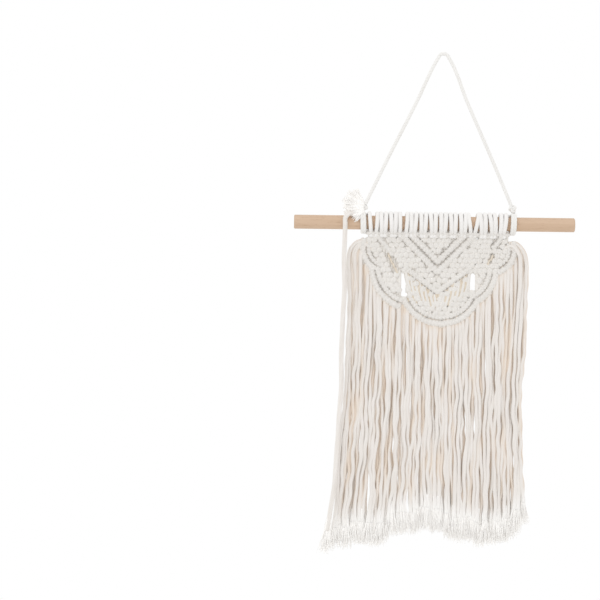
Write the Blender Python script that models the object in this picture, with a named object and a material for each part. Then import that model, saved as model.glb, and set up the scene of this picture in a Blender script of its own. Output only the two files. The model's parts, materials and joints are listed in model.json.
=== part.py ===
"""Macrame wall hanging: a wooden dowel on a hanger cord, with a knotted cotton panel and a long fringe.

The hanging is seen from -Y, the wall is on the +Y side and +Z is up. The origin is under the bend of the
hanger cord, where the nail carries it. The dowel lies along X. The knotted panel turns on the dowel, each
lock of the fringe swings from the lower edge of the panel, and the loose tail of the hanger cord swings
from the front of the dowel.
"""

import math

import bmesh
import bpy
from mathutils import Matrix, Vector

# Driving dimensions, in metres and degrees.
GAP = 0.0003

DOWEL_RADIUS = 0.0075
DOWEL_LENGTH = 0.300
DOWEL_CENTRE_X = -0.0075
DOWEL_DROP = 0.1795
DOWEL_EDGE = 0.0008

HANGER_DIAMETER = 0.004
HANGER_BEND_RADIUS = 0.004
KNOT_RADIUS = 0.0046
KNOT_HEIGHT = 0.0042
TUFT_LENGTH = 0.0135
TUFT_ROOT_RADIUS = 0.0016
TUFT_TIP_RADIUS = 0.0042
TUFT_FLATNESS = 0.5

HEAD_COUNT = 14
HEAD_PITCH = 0.01063
WRAP_THICKNESS = 0.0040
WRAP_CLEARANCE = 0.0003

PANEL_CENTRE_X = -0.0035
FIELD_THICKNESS = 0.0076
RIDGE_THICKNESS = 0.0096
SCALLOP_THICKNESS = 0.0090

RIDGE_WIDTH = 0.0076
STEEP_SLOPE = 1.0
UPPER_RIDGE_DEPTH = 0.0234
LOWER_RIDGE_WIDTH = 0.0070
LOWER_RIDGE_SLOPE = 0.74
LOWER_RIDGE_DEPTH = 0.0656
LOWER_RIDGE_HALF_SPAN = 0.034

LOWER_BAND_WIDTH = 0.012
UPPER_BAND_WIDTH = 0.009

SLOT_WIDTH = 0.0044
SLOT_DEPTH = 0.041
SLOT_LENGTH = 0.016
LATTICE_SLOT_WIDTH = 0.0028
LATTICE_SLOT_LENGTH = 0.008
LATTICE_SLOTS = [(0.0273, 0.0585), (0.0194, 0.0654), (0.0096, 0.0721)]

CORD_DIAMETER = 0.005
LOCK_COUNT = 12
CORDS_PER_LOCK = 3
FRINGE_LEFT = -0.0969
FRINGE_RIGHT = 0.0955
LOCK_CORD_PITCH = 0.0049
HEAD_STRIP = 0.0035
FAN_DEPTH = 0.0265
LEFT_FLARE = 0.014
FLARE_LOCKS = 5

TAIL_FLARE = 0.017

SMOOTH_ANGLE = math.radians(40)
TURN = 2 * math.pi

# Sizes worked out from the driving dimensions.
WRAP_RADIUS = DOWEL_RADIUS + WRAP_CLEARANCE + WRAP_THICKNESS
PANEL_TOP = -(DOWEL_DROP + WRAP_RADIUS + GAP)
PANEL_HALF_WIDTH = HEAD_COUNT * HEAD_PITCH / 2
LOCK_WIDTH = (FRINGE_RIGHT - FRINGE_LEFT) / LOCK_COUNT
LOCK_CORD_RADIUS = (LOCK_WIDTH - 2 * GAP - (CORDS_PER_LOCK - 1) * LOCK_CORD_PITCH) / 2
HITCH_X = [PANEL_CENTRE_X + side * (PANEL_HALF_WIDTH + HEAD_PITCH / 2) for side in (-1, 1)]
KNOT_Z = -DOWEL_DROP + WRAP_RADIUS + GAP + KNOT_HEIGHT

# Scalloped edge: centre right of and below the middle of the panel's top, radius, first and last angle.
SCALLOPS = {
    "scallop_upper_left": (-0.0540, 0.0144, 0.0230, 165, 246, UPPER_BAND_WIDTH),
    "scallop_lower_left": (-0.0245, 0.0339, 0.0429, 185, 248, LOWER_BAND_WIDTH),
    "scallop_bottom": (0.0038, 0.0521, 0.0396, 203, 337, LOWER_BAND_WIDTH),
    "scallop_lower_right": (0.0232, 0.0369, 0.0359, 300, 352, LOWER_BAND_WIDTH),
    "scallop_upper_right": (0.0575, 0.0154, 0.0215, 291, 375, UPPER_BAND_WIDTH),
}
# The scallops that overlie each scallop's ends, which are trimmed to them.
SCALLOP_TRIMS = {
    "scallop_upper_left": ["scallop_lower_left"],
    "scallop_lower_left": ["scallop_bottom"],
    "scallop_bottom": [],
    "scallop_lower_right": ["scallop_bottom"],
    "scallop_upper_right": ["scallop_lower_right"],
}
# Length of the hem below the nail, at places along X.
HEM = [(-0.110, 0.521), (-0.068, 0.518), (-0.025, 0.501), (0.0, 0.503),
       (0.020, 0.511), (0.055, 0.517), (0.077, 0.509), (0.092, 0.492)]
# Loose end of the hanger cord, from its knot over the front of the dowel: how far left of the hitch, then how
# far forward of and above the dowel's axis, each as a plain distance and a share of the dowel's radius.
TAIL_BEND = [(0.008475, 0.0015, 0.2, 0.0065, 1.0), (0.012275, 0.0027, 0.6, 0.0047, 0.8),
             (0.017075, 0.0040, 0.8, 0.0034, 0.6), (0.019575, 0.00295, 1.0, 0.0025, 0.2),
             (0.019775, 0.00295, 1.0, 0.0010, 0.0)]


def clear_scene():
    """Removes every object, so that the model starts from nothing."""
    for thing in list(bpy.data.objects):
        bpy.data.objects.remove(thing, do_unlink=True)


def material(name, colour, roughness):
    """A plain finish for one kind of piece."""
    finish = bpy.data.materials.new(name)
    finish.use_nodes = True
    shader = finish.node_tree.nodes["Principled BSDF"]
    shader.inputs["Base Color"].default_value = (*colour, 1.0)
    shader.inputs["Roughness"].default_value = roughness
    shader.inputs["Metallic"].default_value = 0.0
    return finish


def add_object(name, mesh, finish):
    """Makes a named object of a finished mesh, smooth except at its sharp edges."""
    data = bpy.data.meshes.new(name)
    mesh.to_mesh(data)
    mesh.free()
    data.materials.append(finish)
    data.shade_smooth()
    data.set_sharp_from_angle(angle=SMOOTH_ANGLE)
    thing = bpy.data.objects.new(name, data)
    bpy.context.scene.collection.objects.link(thing)
    return thing


def lathe(name, profile, steps, place, finish, closed=False):
    """Turns a profile of (radius, height) points about Z and puts it in place with a matrix."""
    mesh = bmesh.new()
    rim = [mesh.verts.new((radius, 0, height)) for radius, height in profile]
    edges = [mesh.edges.new(pair) for pair in zip(rim, rim[1:])]
    if closed:
        edges.append(mesh.edges.new((rim[-1], rim[0])))
    bmesh.ops.spin(mesh, geom=rim + edges, cent=(0, 0, 0), axis=(0, 0, 1), angle=TURN,
                   steps=steps, use_merge=True)
    bmesh.ops.remove_doubles(mesh, verts=mesh.verts, dist=1e-6)
    bmesh.ops.transform(mesh, matrix=place, verts=mesh.verts)
    bmesh.ops.recalc_face_normals(mesh, faces=mesh.faces)
    return add_object(name, mesh, finish)


def plate(name, outline, thickness, finish):
    """A flat piece of the panel. The outline is right of and below the middle of the panel's top."""
    mesh = bmesh.new()
    corners = [mesh.verts.new(on_panel(u, depth, -thickness / 2)) for u, depth in outline]
    face = mesh.faces.new(corners)
    raised = bmesh.ops.extrude_face_region(mesh, geom=[face])
    back = [item for item in raised["geom"] if isinstance(item, bmesh.types.BMVert)]
    bmesh.ops.translate(mesh, vec=(0, thickness, 0), verts=back)
    bmesh.ops.recalc_face_normals(mesh, faces=mesh.faces)
    return add_object(name, mesh, finish)


def on_panel(u, depth, y):
    """World place of a point right of and below the middle of the panel's top edge."""
    return (PANEL_CENTRE_X + u, y, PANEL_TOP - depth)


def combine(target, tool, operation):
    """Cuts the tool out of the target, or joins it to the target, and removes the tool."""
    step = target.modifiers.new(operation.title(), "BOOLEAN")
    step.operation = operation
    step.solver = "EXACT"
    step.object = tool
    result = bpy.data.meshes.new_from_object(target.evaluated_get(bpy.context.evaluated_depsgraph_get()))
    target.modifiers.remove(step)
    target.data = result
    target.data.name = target.name
    bpy.data.objects.remove(tool, do_unlink=True)


def cut(target, outline, thickness, finish):
    """Cuts a flat outline right through a plate."""
    combine(target, plate("cutter", outline, thickness + 0.004, finish), "DIFFERENCE")


def arc(centre_u, centre_depth, radius, first, last, step=6):
    """Points along an arc, its angles in degrees from +X, with depth measured downwards."""
    count = max(2, round(abs(last - first) / step))
    angles = [math.radians(first + (last - first) * i / count) for i in range(count + 1)]
    return [(centre_u + radius * math.cos(a), centre_depth - radius * math.sin(a)) for a in angles]


def scallop_line(name, shift=0.0):
    """The line that runs along the middle of a scallop's band, or outside it by a shift."""
    centre_u, centre_depth, radius, first, last, width = SCALLOPS[name]
    return arc(centre_u, centre_depth, radius + shift, first, last)


def scallop_band(name, extra=0.0):
    """The outline of a scallop's band, made wider and longer all round by extra."""
    centre_u, centre_depth, radius, first, last, width = SCALLOPS[name]
    longer = math.degrees(extra / radius)
    outer = arc(centre_u, centre_depth, radius + width / 2 + extra, first - longer, last + longer)
    inner = arc(centre_u, centre_depth, radius - width / 2 - extra, first - longer, last + longer)
    return outer + inner[::-1]


def edge_depth(u):
    """How far the scalloped edge reaches below the panel's top, at a place along X."""
    deepest = FAN_DEPTH
    for centre_u, centre_depth, radius, first, last, width in SCALLOPS.values():
        reach = radius + width / 2
        if abs(u - centre_u) < reach:
            deepest = max(deepest, centre_depth + math.sqrt(reach ** 2 - (u - centre_u) ** 2))
    return deepest


def between(table, x):
    """The value at x on a line through the points of a table."""
    for (x0, value0), (x1, value1) in zip(table, table[1:]):
        if x <= x1:
            break
    share = min(1.0, max(0.0, (x - x0) / (x1 - x0)))
    return value0 + (value1 - value0) * share


def lock_span(index):
    """Left and right side of a lock of the fringe, right of the panel's middle."""
    left = FRINGE_LEFT + index * LOCK_WIDTH
    return left, left + LOCK_WIDTH


def lock_depth(index):
    """How far below the panel's top the still part of a lock ends and its swinging part begins."""
    left, right = lock_span(index)
    samples = [left + (right - left) * i / 16 for i in range(17)]
    return max(edge_depth(u) for u in samples) + HEAD_STRIP


def smooth_route(points, step):
    """Points at an even step along a smooth curve through the route's own points."""
    route = [Vector(p) for p in points]
    gaps = [(q - p).length for p, q in zip(route, route[1:])]
    ways = [(q - p) / gap for p, q, gap in zip(route, route[1:], gaps)]
    inner = [(ways[i] * gaps[i + 1] + ways[i + 1] * gaps[i]) / (gaps[i] + gaps[i + 1])
             for i in range(len(ways) - 1)]
    slopes = [ways[0]] + inner + [ways[-1]]
    fine = []
    for p, q, gap, leave, arrive in zip(route, route[1:], gaps, slopes, slopes[1:]):
        for t in (i / 24 for i in range(24)):
            fine.append(p * (2 * t ** 3 - 3 * t ** 2 + 1) + leave * gap * (t ** 3 - 2 * t ** 2 + t)
                        + q * (3 * t ** 2 - 2 * t ** 3) + arrive * gap * (t ** 3 - t ** 2))
    fine.append(route[-1])
    length = sum((q - p).length for p, q in zip(fine, fine[1:]))
    count = max(2, round(length / step))
    even, walked, target = [fine[0]], 0.0, length / count
    for p, q in zip(fine, fine[1:]):
        stride = (q - p).length
        while walked + stride >= target and len(even) < count:
            even.append(p.lerp(q, (target - walked) / stride))
            target += length / count
        walked += stride
    even.append(fine[-1])
    return even


def tube(name, points, diameter, finish):
    """A cord along a route, as a curve with a round bevel and closed ends."""
    data = bpy.data.curves.new(name, "CURVE")
    data.dimensions = "3D"
    data.bevel_depth = diameter / 2
    data.bevel_resolution = 2
    data.use_fill_caps = True
    line = data.splines.new("POLY")
    line.points.add(len(points) - 1)
    for spot, point in zip(line.points, points):
        spot.co = (*point, 1.0)
    data.materials.append(finish)
    thing = bpy.data.objects.new(name, data)
    bpy.context.scene.collection.objects.link(thing)
    return thing


def axis_empty(name, place):
    """An empty on the axis that a moving group turns about."""
    empty = bpy.data.objects.new(name, None)
    empty.empty_display_size = 0.02
    empty.location = place
    bpy.context.scene.collection.objects.link(empty)
    return empty


def hang_on(empty, pieces):
    """Parents finished pieces to their axis without moving them."""
    for piece in pieces:
        piece.parent = empty
        piece.matrix_parent_inverse = Matrix.Translation(-Vector(empty.location))


def make_dowel(finish):
    """The round wooden dowel, with its cut edges softened."""
    half, inner = DOWEL_LENGTH / 2, DOWEL_RADIUS - DOWEL_EDGE
    profile = [(0, -half), (inner, -half), (DOWEL_RADIUS, -half + DOWEL_EDGE),
               (DOWEL_RADIUS, half - DOWEL_EDGE), (inner, half), (0, half)]
    dowel = lathe("dowel", profile, 48, Matrix.Identity(4), finish)
    dowel.rotation_euler = (0, math.pi / 2, 0)
    dowel.location = (DOWEL_CENTRE_X, 0, -DOWEL_DROP)
    return dowel


def make_wraps(name, x, width, finish):
    """Two turns of cord side by side round the dowel, as a closed ring with two bumps."""
    inner = DOWEL_RADIUS + WRAP_CLEARANCE
    shoulder = WRAP_RADIUS - WRAP_THICKNESS * 0.35
    valley = WRAP_RADIUS - WRAP_THICKNESS * 0.3
    half = width / 2
    profile = [(inner, -half), (shoulder, -half), (WRAP_RADIUS, -half * 0.72), (WRAP_RADIUS, -half * 0.28),
               (valley, 0), (WRAP_RADIUS, half * 0.28), (WRAP_RADIUS, half * 0.72), (shoulder, half),
               (inner, half)]
    place = Matrix.Translation((x, 0, -DOWEL_DROP)) @ Matrix.Rotation(math.pi / 2, 4, "Y")
    return lathe(name, profile, 16, place, finish, closed=True)


def make_knot(name, x, finish):
    """The stopper knot that holds a leg of the hanger cord above the dowel."""
    count = 8
    angles = [math.pi * i / count - math.pi / 2 for i in range(count + 1)]
    profile = [(KNOT_RADIUS * math.cos(a), KNOT_HEIGHT * math.sin(a)) for a in angles]
    profile[0] = (0, -KNOT_HEIGHT)
    profile[-1] = (0, KNOT_HEIGHT)
    return lathe(name, profile, 16, Matrix.Translation((x, 0, KNOT_Z)), finish)


def leg_end(x):
    """Where a leg of the hanger cord stops, just clear of its knot, and the way it points."""
    knot = Vector((x, 0, KNOT_Z))
    direction = (Vector((0, 0, HANGER_DIAMETER / 2)) - knot).normalized()
    spread = math.hypot(direction.x / KNOT_RADIUS, direction.z / KNOT_HEIGHT)
    return knot + direction * (1 / spread + GAP), direction


def make_hanger_cord(finish):
    """The hanger cord from one knot up over the nail and down to the other knot."""
    left, left_way = leg_end(HITCH_X[0])
    right, right_way = leg_end(HITCH_X[1])
    bend = HANGER_BEND_RADIUS
    top = Vector((0, 0, HANGER_DIAMETER / 2))
    shoulders = [top + Vector((side * bend * 0.72, 0, -bend * 0.42)) for side in (-1, 1)]
    hips = [top - way * bend * 1.9 for way in (left_way, right_way)]
    rest = HANGER_DIAMETER * 2.6
    route = [left, left + left_way * rest, hips[0], shoulders[0], top, shoulders[1], hips[1],
             right + right_way * rest, right]
    points = smooth_route(route[:3], rest) + smooth_route(route[2:7], 0.0022)[1:-1]
    points += smooth_route(route[6:], rest)
    return tube("hanger_cord", points, HANGER_DIAMETER, finish)


def make_tuft(finish):
    """The frayed short end that stands up and out of the left knot."""
    profile = [(0, 0), (TUFT_ROOT_RADIUS, 0), (TUFT_TIP_RADIUS, TUFT_LENGTH * 0.8),
               (TUFT_TIP_RADIUS * 0.7, TUFT_LENGTH), (0, TUFT_LENGTH)]
    away = Vector((-0.93, 0, 0.36)).normalized()
    spread = math.hypot(away.x / KNOT_RADIUS, away.z / KNOT_HEIGHT)
    root = Vector((HITCH_X[0], 0, KNOT_Z)) + away * (1 / spread + 1.4 * GAP)
    turn = Vector((0, 0, 1)).rotation_difference(away).to_matrix().to_4x4()
    flat = Matrix.Diagonal((1, TUFT_FLATNESS, 1, 1))
    return lathe("hanger_tuft", profile, 14, Matrix.Translation(root) @ turn @ flat, finish)


def tail_route():
    """Points of the loose end, from the left knot to the front of the dowel."""
    return [Vector((HITCH_X[0] - left, -(forward + near * DOWEL_RADIUS), up + over * DOWEL_RADIUS - DOWEL_DROP))
            for left, forward, near, up, over in TAIL_BEND]


def make_tail_bend(finish):
    """The loose end of the hanger cord, lying over the top and front of the dowel."""
    return tube("hanger_tail_bend", smooth_route(tail_route(), CORD_DIAMETER / 2), CORD_DIAMETER * 0.96, finish)


def tail_pivot():
    """Where the hanging tail leaves the front of the dowel."""
    end = tail_route()[-1]
    return Vector((end.x, end.y, end.z - 2 * GAP - CORD_DIAMETER / 2))


def make_tail(finish):
    """The tail that hangs down in front of the dowel and out to the side at its tip."""
    pivot = tail_pivot()
    return make_strand("hanger_tail", pivot.x, pivot.y, pivot.z, -between(HEM, pivot.x),
                       CORD_DIAMETER / 2, -TAIL_FLARE, finish)


def make_strand(name, x, y, top, bottom, radius, flare, finish):
    """One hanging cord with a round top about its pivot, flaring sideways towards its tip."""
    dome = [(0, radius), (radius * 0.5, radius * 0.866), (radius * 0.866, radius * 0.5)]
    length = top - bottom
    shaft = [(radius, -length * share) for share in (0, 0.35, 0.65, 0.85, 0.99)]
    tip = [(radius * 0.7, -length), (0, -length)]
    strand = lathe(name, dome + shaft + tip, 10, Matrix.Translation((x, y, top)), finish)
    for vertex in strand.data.vertices:
        below = max(0.0, top - vertex.co.z) / length
        vertex.co.x += flare * below ** 2
    return strand


def make_head(index, finish):
    """One lark's head: a folded cord with its two turns round the dowel."""
    x = PANEL_CENTRE_X - PANEL_HALF_WIDTH + (index + 0.5) * HEAD_PITCH
    return make_wraps(f"larks_head_{index + 1:02d}", x, HEAD_PITCH - 2 * GAP, finish)


def chevron(depth_above, depth_below, slope, half_span=None):
    """The outline of a V between two depths at its middle, up to the panel's top or to a half span."""
    if half_span is None:
        above, below = depth_above / slope, depth_below / slope
        return [(-below, 0), (-above, 0), (0, depth_above), (above, 0), (below, 0), (0, depth_below)]
    rise = slope * half_span
    return [(-half_span, depth_above - rise), (0, depth_above), (half_span, depth_above - rise),
            (half_span, depth_below - rise), (0, depth_below), (-half_span, depth_below - rise)]


def seam(slope):
    """Vertical distance that leaves the gap across a sloping seam."""
    return GAP * math.hypot(1, slope)


def steep_ridges():
    """Depths at the middle of the two steep V ridges: (above, below) for each."""
    tall = RIDGE_WIDTH * math.hypot(1, STEEP_SLOPE)
    first = (UPPER_RIDGE_DEPTH, UPPER_RIDGE_DEPTH + tall)
    start = first[1] + seam(STEEP_SLOPE)
    return [first, (start, start + tall)]


def lower_ridge():
    """Depths at the middle of the lower V ridge: (above, below)."""
    tall = LOWER_RIDGE_WIDTH * math.hypot(1, LOWER_RIDGE_SLOPE)
    return LOWER_RIDGE_DEPTH - tall, LOWER_RIDGE_DEPTH


def side_lines(side, shift=0.0):
    """Middle lines of the scallops on one side, from the top corner to the middle of the bottom."""
    names = ["scallop_upper_left", "scallop_lower_left"] if side < 0 else ["scallop_upper_right",
                                                                           "scallop_lower_right"]
    lines = [scallop_line(name, shift) for name in names]
    bottom = scallop_line("scallop_bottom", shift)
    if side > 0:
        lines = [line[::-1] for line in lines]
        bottom = bottom[::-1]
    bottom = [point for point in bottom if point[0] * side > 0.002]
    lowest = max(depth for u, depth in scallop_line("scallop_bottom"))
    return lines, bottom + [(side * GAP / 2, lowest)]


def side_names(side):
    """The scallops that bound one side of the panel."""
    word = "left" if side < 0 else "right"
    return [f"scallop_upper_{word}", f"scallop_lower_{word}", "scallop_bottom"]


def make_scallop(name, finish):
    """One hitched band of the scalloped edge, trimmed to the bands that lie over its ends."""
    band = plate(name, scallop_band(name), SCALLOP_THICKNESS, finish)
    for other in SCALLOP_TRIMS[name]:
        cut(band, scallop_band(other, GAP), SCALLOP_THICKNESS, finish)
    return band


def make_field(side, finish):
    """The knotted field on one side: from the dowel down to the scallops, beside the V ridges."""
    word = "left" if side < 0 else "right"
    second = steep_ridges()[1][1] + seam(STEEP_SLOPE)
    above, below = lower_ridge()
    above -= seam(LOWER_RIDGE_SLOPE)
    span = LOWER_RIDGE_HALF_SPAN
    rise = LOWER_RIDGE_SLOPE * span
    lines, bottom = side_lines(side)
    inner = [(-second / STEEP_SLOPE, 0), (-GAP / 2, second), (-GAP / 2, above), (-span - GAP, above - rise),
             (-span - GAP, SLOT_DEPTH), (-span - SLOT_WIDTH, SLOT_DEPTH),
             (-span - SLOT_WIDTH, SLOT_DEPTH + SLOT_LENGTH)]
    if side > 0:
        inner = [(-u, depth) for u, depth in inner]
    outer = [point for line in reversed(lines) for point in reversed(line)]
    corner = [(side * PANEL_HALF_WIDTH, 0)]
    field = plate(f"knot_field_{word}", inner + outer + corner, FIELD_THICKNESS, finish)
    for name in side_names(side):
        cut(field, scallop_band(name, GAP), FIELD_THICKNESS, finish)
    return field


def make_lattice(side, finish):
    """Crossing cords between the lower V ridge and the bottom scallop, with open slots."""
    word = "left" if side < 0 else "right"
    above, below = lower_ridge()
    below += seam(LOWER_RIDGE_SLOPE)
    span = LOWER_RIDGE_HALF_SPAN - GAP
    lines, bottom = side_lines(side)
    outline = [(side * span, SLOT_DEPTH + SLOT_LENGTH), (side * span, below - LOWER_RIDGE_SLOPE * span),
               (side * GAP / 2, below)]
    lattice = plate(f"lattice_{word}", outline + bottom[::-1], FIELD_THICKNESS, finish)
    cut(lattice, scallop_band("scallop_bottom", GAP), FIELD_THICKNESS, finish)
    cut(lattice, scallop_band(side_names(side)[1], GAP), FIELD_THICKNESS, finish)
    for u, depth in LATTICE_SLOTS:
        half_width, half_length = LATTICE_SLOT_WIDTH / 2, LATTICE_SLOT_LENGTH / 2
        corners = [(-half_width, -half_length), (half_width, -half_length), (half_width, half_length),
                   (-half_width, half_length)]
        cut(lattice, [(side * u + a, depth + b) for a, b in corners], FIELD_THICKNESS, finish)
    return lattice


def make_fringe_head(side, finish):
    """The still upper part of the fringe on one side, from the scallops to where the locks swing."""
    word = "left" if side < 0 else "right"
    half = LOCK_COUNT // 2
    indices = list(range(half)) if side < 0 else list(range(LOCK_COUNT - 1, half - 1, -1))
    depths = [lock_depth(index) for index in indices]
    outer_sides = [lock_span(index)[0 if side < 0 else 1] for index in indices]
    edge = outer_sides[0] - side * GAP
    steps = [(edge, depths[0])]
    for near_side, depth, deeper in zip(outer_sides[1:], depths, depths[1:]):
        riser = near_side - side * GAP * (1 if deeper > depth else -1)
        steps += [(riser, depth), (riser, deeper)]
    steps.append((side * GAP / 2, depths[-1]))
    shoulder = side * (PANEL_HALF_WIDTH + UPPER_BAND_WIDTH / 3)
    reach = edge - shoulder
    fan = [(shoulder, 0.0035), (shoulder + reach * 0.45, 0.0070), (shoulder + reach * 0.8, 0.0135),
           (edge, 0.0215)]
    lines, bottom = side_lines(side, 2 * GAP)
    outline = fan + steps + bottom[::-1] + [point for line in reversed(lines) for point in reversed(line)]
    head = plate(f"fringe_head_{word}", outline, 2 * LOCK_CORD_RADIUS, finish)
    for name in side_names(side):
        cut(head, scallop_band(name, GAP), 2 * LOCK_CORD_RADIUS, finish)
    return head


def make_lock(index, finish):
    """One lock of the fringe: cords side by side that swing together from one line."""
    left, right = lock_span(index)
    middle = PANEL_CENTRE_X + (left + right) / 2
    top = PANEL_TOP - lock_depth(index) - GAP - LOCK_CORD_RADIUS
    share = max(0.0, 1 - index / FLARE_LOCKS)
    cords = []
    for number in range(CORDS_PER_LOCK):
        x = middle + (number - (CORDS_PER_LOCK - 1) / 2) * LOCK_CORD_PITCH
        cords.append(make_strand(f"fringe_lock_{index + 1:02d}", x, 0, top, -between(HEM, x),
                                 LOCK_CORD_RADIUS, -LEFT_FLARE * share, finish))
    for other in cords[1:]:
        combine(cords[0], other, "UNION")
    return cords[0], Vector((middle, 0, top))


def build():
    """Makes every piece and hangs the moving ones on their axes."""
    clear_scene()
    wood = material("beech", (0.68, 0.47, 0.31), 0.55)
    bright = material("bright_cotton", (0.90, 0.89, 0.86), 0.90)
    knotted = material("knotted_cotton", (0.82, 0.79, 0.73), 0.92)
    natural = material("fringe_cotton", (0.84, 0.78, 0.70), 0.94)

    make_hanger_cord(bright)
    make_tuft(bright)
    make_tail_bend(bright)
    for word, x in zip(("left", "right"), HITCH_X):
        make_wraps(f"hanger_hitch_{word}", x, HEAD_PITCH - 2 * GAP, bright)
        make_knot(f"hanger_knot_{word}", x, bright)

    tail = make_tail(natural)
    hang_on(axis_empty("tail_axis", tail_pivot()), [tail])

    dowel_axis = axis_empty("dowel_axis", (DOWEL_CENTRE_X, 0, -DOWEL_DROP))
    make_dowel(wood)
    panel = [make_head(index, bright) for index in range(HEAD_COUNT)]
    first, second = steep_ridges()
    field_edge = UPPER_RIDGE_DEPTH - seam(STEEP_SLOPE)
    top_edge = field_edge / STEEP_SLOPE
    panel.append(plate("centre_field", [(-top_edge, 0), (top_edge, 0), (0, field_edge)], FIELD_THICKNESS,
                       knotted))
    panel.append(plate("v_ridge_upper", chevron(*first, STEEP_SLOPE), RIDGE_THICKNESS, knotted))
    panel.append(plate("v_ridge_middle", chevron(*second, STEEP_SLOPE), RIDGE_THICKNESS, knotted))
    panel.append(plate("v_ridge_lower", chevron(*lower_ridge(), LOWER_RIDGE_SLOPE, LOWER_RIDGE_HALF_SPAN),
                       RIDGE_THICKNESS, knotted))
    panel += [make_scallop(name, knotted) for name in SCALLOPS]
    for side in (-1, 1):
        panel += [make_field(side, knotted), make_lattice(side, knotted), make_fringe_head(side, natural)]
    hang_on(dowel_axis, panel)

    for index in range(LOCK_COUNT):
        lock, pivot = make_lock(index, natural)
        hang_on(axis_empty(f"lock_axis_{index + 1:02d}", pivot), [lock])


build()
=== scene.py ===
# %% [markdown]
# # A macrame wall hanging
#
# The real thing is cotton cord tied to a short round stick. Nothing is sewn or glued: every shape is a
# knot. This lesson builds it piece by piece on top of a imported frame, which already holds the moving
# bodies and plain solids. Each plain solid is then replaced by the cord work that it stands for.

# %% Load the frame
import json
import math
import random

import bpy
from mathutils import Matrix, Vector
from mathutils.bvhtree import BVHTree


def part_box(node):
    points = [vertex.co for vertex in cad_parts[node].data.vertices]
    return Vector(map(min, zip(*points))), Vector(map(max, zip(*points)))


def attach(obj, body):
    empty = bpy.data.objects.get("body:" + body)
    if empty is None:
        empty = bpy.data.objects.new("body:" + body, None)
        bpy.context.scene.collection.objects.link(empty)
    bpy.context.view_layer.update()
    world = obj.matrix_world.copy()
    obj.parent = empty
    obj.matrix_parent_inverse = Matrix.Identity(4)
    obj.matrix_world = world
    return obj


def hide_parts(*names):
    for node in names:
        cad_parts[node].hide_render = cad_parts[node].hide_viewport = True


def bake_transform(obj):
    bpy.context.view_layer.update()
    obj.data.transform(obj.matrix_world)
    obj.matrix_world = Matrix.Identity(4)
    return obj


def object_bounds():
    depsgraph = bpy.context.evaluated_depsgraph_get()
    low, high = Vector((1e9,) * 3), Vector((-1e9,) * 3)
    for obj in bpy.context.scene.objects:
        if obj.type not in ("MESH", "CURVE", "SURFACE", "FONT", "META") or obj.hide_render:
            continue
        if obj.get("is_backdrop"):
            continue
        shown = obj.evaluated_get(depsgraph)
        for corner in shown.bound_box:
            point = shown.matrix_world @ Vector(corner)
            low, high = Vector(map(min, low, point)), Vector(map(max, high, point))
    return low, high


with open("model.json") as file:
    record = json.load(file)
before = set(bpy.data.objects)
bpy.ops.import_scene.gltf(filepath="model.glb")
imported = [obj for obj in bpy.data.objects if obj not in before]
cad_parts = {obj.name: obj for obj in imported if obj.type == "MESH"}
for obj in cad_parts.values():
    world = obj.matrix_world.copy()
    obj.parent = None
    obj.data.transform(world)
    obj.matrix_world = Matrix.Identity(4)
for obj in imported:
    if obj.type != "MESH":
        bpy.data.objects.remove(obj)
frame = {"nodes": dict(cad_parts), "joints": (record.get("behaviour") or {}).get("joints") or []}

cad_low, cad_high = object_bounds()
bpy.ops.object.select_all(action="DESELECT")
print("frame:", len(frame["nodes"]), "nodes, from", tuple(cad_low), "to", tuple(cad_high))

# %% [markdown]
# All the places come from the frame. The dowel's box gives its axis and its size, each wrap's box gives
# the middle of a knot on the dowel, and each joint gives the point where a lock of the fringe swings.

# %% Measure the frame
TURN = 2 * math.pi


def middle(node):
    """The middle of a node's box."""
    low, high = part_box(node)
    return (Vector(low) + Vector(high)) / 2


dowel_low, dowel_high = (Vector(corner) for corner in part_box("dowel"))
DOWEL = (dowel_low + dowel_high) / 2
DOWEL_RADIUS = (dowel_high.z - dowel_low.z) / 2
PANEL_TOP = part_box("centre_field")[1][2]
PANEL_X = middle("centre_field").x
PIVOTS = {joint["child"]: Vector(joint["pos_m"]) for joint in frame["joints"]}
HEADS = [middle(f"larks_head_{number + 1:02d}").x for number in range(14)]
print("dowel radius", round(DOWEL_RADIUS, 4), "panel top", round(PANEL_TOP, 4), "panel middle", PANEL_X)


def on_panel(across, down, forward=0.0):
    """A point right of and below the middle of the panel's top, and forward of its middle plane."""
    return Vector((PANEL_X + across, -forward, PANEL_TOP - down))


# %% [markdown]
# ## The camera
#
# A long lens from a few metres away keeps the dowel and the fringe free of perspective. The hanging is
# on the right of the view, and it hangs less than one degree out of level, so the camera is rolled by
# that angle instead of turning the piece.

# %% Camera
VIEW_WIDTH = 0.642
VIEW_DISTANCE = 2.2
VIEW_MIDDLE = Vector((-0.1501, 0, -0.2633))
ROLL = math.radians(0.75)

bpy.ops.object.camera_add(location=VIEW_MIDDLE - Vector((0, VIEW_DISTANCE, 0)))
camera = bpy.context.object
camera.name = "studio_camera"
camera.rotation_mode = "QUATERNION"
right = Vector((math.cos(ROLL), 0, math.sin(ROLL)))
up = Vector((-math.sin(ROLL), 0, math.cos(ROLL)))
camera.rotation_quaternion = Matrix((right, up, right.cross(up))).transposed().to_quaternion()
camera.data.sensor_width = 36
camera.data.lens = 36 * VIEW_DISTANCE / VIEW_WIDTH
bpy.context.scene.camera = camera
print("camera: lens", round(camera.data.lens, 1), "mm at", tuple(camera.location))

# %% [markdown]
# ## Sums on sockets
#
# A pattern such as the slanting groove between two plies is a short formula. Drawn by hand it is a dozen
# Math nodes. A small class that wraps a socket lets the formula be written as a Python expression: each
# operator adds its Math node. Every other node comes from the one method `add`, and the few that
# every material here needs have short methods of their own.

# %% Shader helper


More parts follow.
